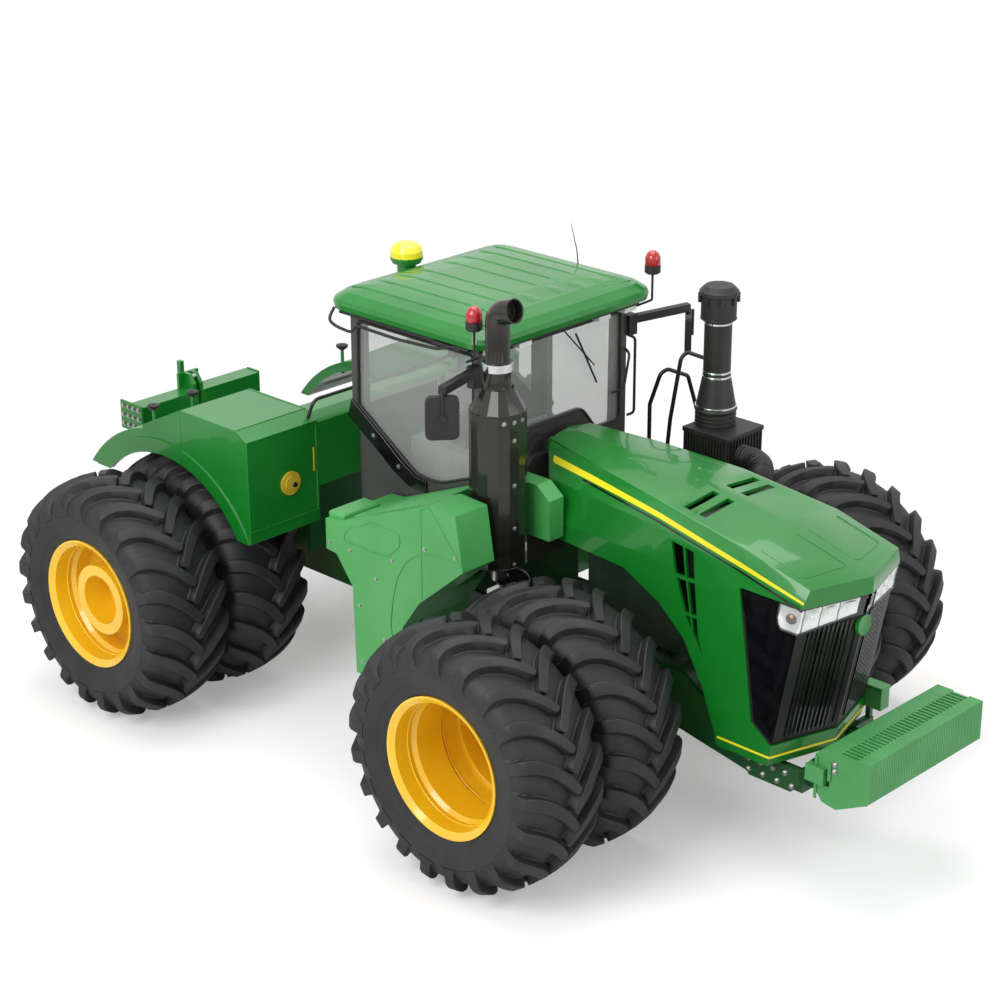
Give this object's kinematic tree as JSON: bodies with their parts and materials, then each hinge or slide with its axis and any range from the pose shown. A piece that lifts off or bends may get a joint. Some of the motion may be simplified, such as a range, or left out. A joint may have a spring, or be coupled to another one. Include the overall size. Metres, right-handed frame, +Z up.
{
  "type": "articulated farm tractor",
  "caption": "Articulated farm tractor with dual wheels at every corner, glazed cab, sloping hood, front weights and a rear lift hitch.",
  "frame": {"origin": "on the floor under the middle of the overall length and width", "axes": "+X forward, +Y to the tractor's left, +Z up"},
  "size_m": [7.9, 4.75, 3.8604],
  "materials": {
    "beacon_red": "tinted lens",
    "black_metal": "satin powder coat",
    "black_plastic": "fine grain",
    "cab_paint": "satin enamel",
    "engine_paint": "painted casting",
    "exhaust_black": "satin heat-proof black",
    "frame_paint": "satin enamel",
    "glass": "clear toughened",
    "globe_yellow": "moulded dome",
    "green_paint": "gloss enamel",
    "grey_trim": "moulded trim",
    "lamp_lens": "clear lens over reflector",
    "seat_fabric": "woven seat cloth",
    "steel_rod": "ground rod",
    "tyre": "new rubber",
    "yellow_paint": "gloss enamel"
  },
  "bodies": {
    "chassis": {"front_frame": "frame_paint", "front_axle": "frame_paint", "engine_block": "engine_paint", "front_weights": "green_paint", "exhaust_stack": "exhaust_black", "air_intake": "black_plastic", "cab_frame": "cab_paint", "cab_roof": "green_paint", "cab_glass": "glass", "roof_lamps": "lamp_lens", "seat_base": "grey_trim", "seat_cushions": "seat_fabric", "cab_controls": "grey_trim", "side_platforms": "green_paint", "handrails": "black_metal", "mirrors": "black_plastic", "beacons": "beacon_red", "position_globe": "green_paint", "globe_dome": "globe_yellow"},
    "hood": {"hood": "green_paint", "grille": "black_plastic", "headlamps": "lamp_lens"},
    "door": {"door_frame": "cab_paint", "door_glass": "glass"},
    "rear": {"rear_frame": "frame_paint", "rear_axle": "frame_paint", "rear_tank": "green_paint", "rear_fenders": "green_paint", "drive_shaft": "frame_paint", "rear_lamps": "beacon_red", "tank_cap": "globe_yellow"},
    "draft_links": {"hitch_links": "green_paint"},
    "coupler": {"quick_coupler": "green_paint"},
    "top_link": {"top_link": "steel_rod"},
    "lift_barrels": {"lift_barrels": "frame_paint"},
    "lift_rods": {"lift_rods": "steel_rod"},
    "steer_barrel_left": {"steer_barrel_left": "frame_paint"},
    "steer_barrel_right": {"steer_barrel_right": "frame_paint"},
    "steer_rod_left": {"steer_rod_left": "steel_rod"},
    "steer_rod_right": {"steer_rod_right": "steel_rod"},
    "wheels_front_left": {"tyres_front_left": "tyre", "rims_front_left": "yellow_paint"},
    "wheels_front_right": {"tyres_front_right": "tyre", "rims_front_right": "yellow_paint"},
    "wheels_rear_left": {"tyres_rear_left": "tyre", "rims_rear_left": "yellow_paint"},
    "wheels_rear_right": {"tyres_rear_right": "tyre", "rims_rear_right": "yellow_paint"}
  },
  "joints": [
    {"name": "articulation", "type": "hinge", "parent": "chassis", "child": "rear", "pos_m": [-0.35, 0, 0.97], "axis": [0, 0, 1], "range_deg": [-35, 35]},
    {"name": "hood_hinge", "type": "hinge", "parent": "chassis", "child": "hood", "pos_m": [0.65, 0, 2.5], "axis": [0, -1, 0], "range_deg": [0, 45]},
    {"name": "door_hinge", "type": "hinge", "parent": "chassis", "child": "door", "pos_m": [-0.352, 0.815, 2.5], "axis": [0, 0, 1], "range_deg": [0, 75]},
    {"name": "hitch_lift", "type": "hinge", "parent": "rear", "child": "draft_links", "pos_m": [-2.8, 0, 0.75], "axis": [0, 1, 0], "range_deg": [-12, 28]},
    {"name": "coupler_pivot", "type": "hinge", "parent": "draft_links", "child": "coupler", "pos_m": [-3.8, 0, 0.75], "axis": [0, 1, 0], "range_deg": [-30, 14]},
    {"name": "top_link_pivot", "type": "hinge", "parent": "rear", "child": "top_link", "pos_m": [-2.8, 0, 1.7], "axis": [0, 1, 0], "range_deg": [-14, 30]},
    {"name": "lift_swing", "type": "hinge", "parent": "rear", "child": "lift_barrels", "pos_m": [-2.91, 0, 1.56], "axis": [0, 1, 0], "range_deg": [-3, 3]},
    {"name": "lift_stroke", "type": "slide", "parent": "lift_barrels", "child": "lift_rods", "axis": [-0.4294, 0, -0.9031], "range_m": [-0.23, 0.11]},
    {"name": "steer_swing_left", "type": "hinge", "parent": "chassis", "child": "steer_barrel_left", "pos_m": [0.41, 0.47, 0.93], "axis": [0, 0, 1], "range_deg": [-15, 15]},
    {"name": "steer_stroke_left", "type": "slide", "parent": "steer_barrel_left", "child": "steer_rod_left", "axis": [-1, 0, 0], "range_m": [-0.29, 0.29]},
    {"name": "steer_swing_right", "type": "hinge", "parent": "chassis", "child": "steer_barrel_right", "pos_m": [0.41, -0.47, 0.93], "axis": [0, 0, 1], "range_deg": [-15, 15]},
    {"name": "steer_stroke_right", "type": "slide", "parent": "steer_barrel_right", "child": "steer_rod_right", "axis": [-1, 0, 0], "range_m": [-0.29, 0.29]},
    {"name": "wheel_spin_front_left", "type": "hinge", "parent": "chassis", "child": "wheels_front_left", "pos_m": [1.606, 1.59, 0.98], "axis": [0, 1, 0], "continuous": true},
    {"name": "wheel_spin_front_right", "type": "hinge", "parent": "chassis", "child": "wheels_front_right", "pos_m": [1.606, -1.59, 0.98], "axis": [0, 1, 0], "continuous": true},
    {"name": "wheel_spin_rear_left", "type": "hinge", "parent": "rear", "child": "wheels_rear_left", "pos_m": [-2.306, 1.59, 0.98], "axis": [0, 1, 0], "continuous": true},
    {"name": "wheel_spin_rear_right", "type": "hinge", "parent": "rear", "child": "wheels_rear_right", "pos_m": [-2.306, -1.59, 0.98], "axis": [0, 1, 0], "continuous": true}
  ],
  "couplings": [
    {"joint": "coupler_pivot", "follows": "hitch_lift", "ratio": -1},
    {"joint": "top_link_pivot", "follows": "hitch_lift", "ratio": 1},
    {"joint": "lift_swing", "follows": "hitch_lift", "ratio": 0.06},
    {"joint": "lift_stroke", "follows": "hitch_lift", "m_per_rad": -0.45},
    {"joint": "steer_swing_left", "follows": "articulation", "ratio": 0.4},
    {"joint": "steer_swing_right", "follows": "articulation", "ratio": 0.4},
    {"joint": "steer_stroke_left", "follows": "articulation", "m_per_rad": 0.46},
    {"joint": "steer_stroke_right", "follows": "articulation", "m_per_rad": -0.46}
  ]
}
